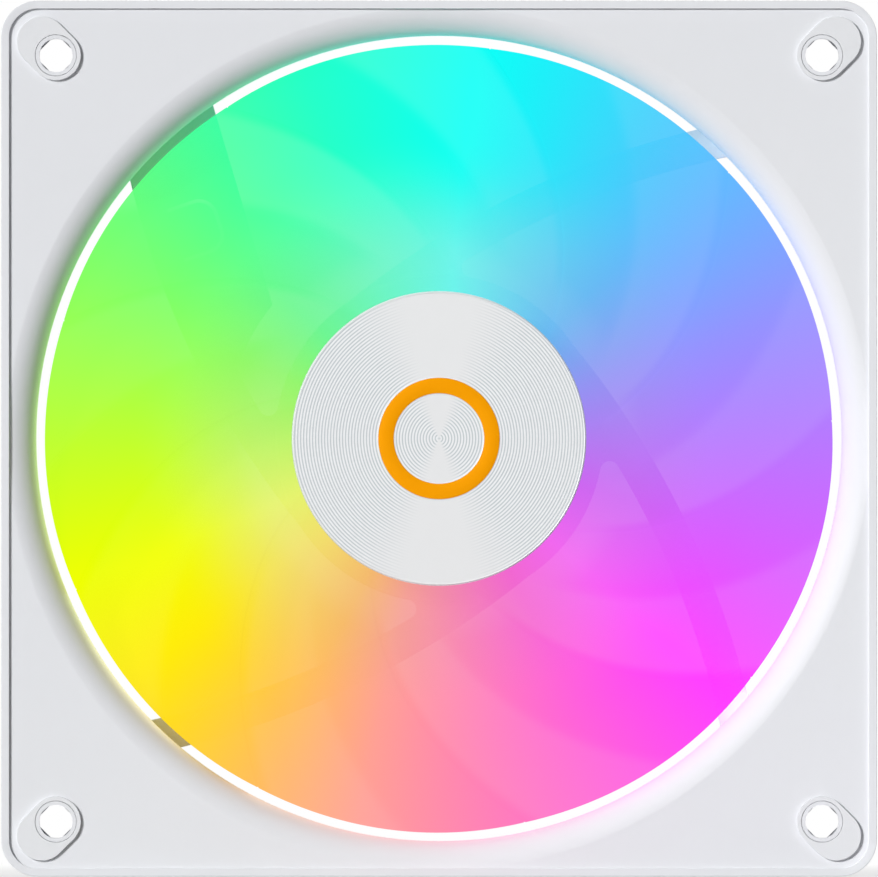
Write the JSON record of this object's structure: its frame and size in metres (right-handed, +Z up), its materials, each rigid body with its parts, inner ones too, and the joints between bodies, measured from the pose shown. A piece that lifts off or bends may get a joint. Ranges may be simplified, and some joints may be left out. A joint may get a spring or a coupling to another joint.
{
  "type": "case fan",
  "caption": "Square computer case fan: a framed round duct, curved rear struts and a lit swept-blade impeller that spins on a brushless hub motor.",
  "frame": {"origin": "middle of the lower edge of the frame, on the surface that the fan stands on", "axes": "+Z up; -Y towards the intake side, along the spin axis; +X to the right seen from the intake side"},
  "size_m": [0.12, 0.0252, 0.12],
  "materials": {
    "white_plastic": "fine moulded satin",
    "white_rubber": "matte",
    "lit_plastic": "milky, lit from the hub in a rainbow",
    "spun_metal": "turned in fine rings",
    "accent_paint": "satin orange",
    "steel": "plain",
    "magnet": "dark grey bonded ferrite",
    "brass": "turned",
    "copper": "enamelled winding",
    "nylon": "natural nylon",
    "green_board": "solder mask",
    "black_plastic": "moulded",
    "led": "clear resin"
  },
  "bodies": {
    "housing": {"fan_frame": "white_plastic", "front_pad_top_right": "white_rubber", "front_pad_top_left": "white_rubber", "front_pad_bottom_left": "white_rubber", "front_pad_bottom_right": "white_rubber", "rear_pad_top_right": "white_rubber", "rear_pad_top_left": "white_rubber", "rear_pad_bottom_left": "white_rubber", "rear_pad_bottom_right": "white_rubber", "bearing_sleeve": "brass", "oil_seal_ring": "nylon", "thrust_pad": "nylon", "bearing_end_cap": "white_plastic", "stator_core": "steel", "upper_insulator": "nylon", "lower_insulator": "nylon", "coil_1": "copper", "coil_2": "copper", "coil_3": "copper", "coil_4": "copper", "motor_board": "green_board", "driver_chip": "black_plastic", "hall_sensor": "black_plastic", "capacitor": "nylon", "led_1": "led", "led_2": "led", "led_3": "led", "led_4": "led", "led_5": "led", "led_6": "led", "led_7": "led", "led_8": "led"},
    "rotor": {"impeller": "lit_plastic", "hub_cap": "spun_metal", "accent_ring": "accent_paint", "rotor_yoke": "steel", "magnet_ring": "magnet", "shaft": "steel", "shaft_bush": "brass", "retaining_clip": "nylon"}
  },
  "joints": [
    {"name": "rotor_spin", "type": "hinge", "parent": "housing", "child": "rotor", "pos_m": [0, 0, 0.06], "axis": [0, -1, 0], "continuous": true}
  ]
}
